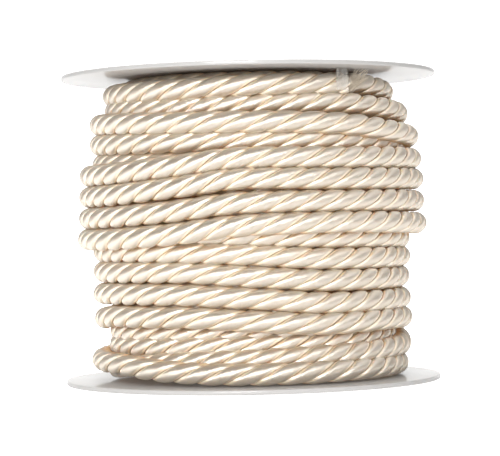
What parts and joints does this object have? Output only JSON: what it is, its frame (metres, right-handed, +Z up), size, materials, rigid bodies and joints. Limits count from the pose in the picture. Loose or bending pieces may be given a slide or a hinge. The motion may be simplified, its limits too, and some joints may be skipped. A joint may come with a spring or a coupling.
{
  "type": "decorative cord on a spool",
  "caption": "Twisted satin trimming cord wound on a thin-flanged plastic spool, with its cut end held under the top flange by a clear strip.",
  "frame": {"origin": "centre of the bottom flange's underside, on the surface that the spool stands on", "axes": "+Z up along the spool's axis; -Y towards the viewer of the picture, +X to the right"},
  "size_m": [0.088, 0.088, 0.0722],
  "materials": {
    "cord_satin": "satin filament yarn, cream",
    "spool_plastic": "milky, half clear, smooth",
    "clear_tape": "clear film"
  },
  "bodies": {
    "root": {"flange_bottom": "spool_plastic", "flange_top": "spool_plastic", "barrel": "spool_plastic", "cord_winding": "cord_satin", "tape": "clear_tape"}
  },
  "joints": []
}
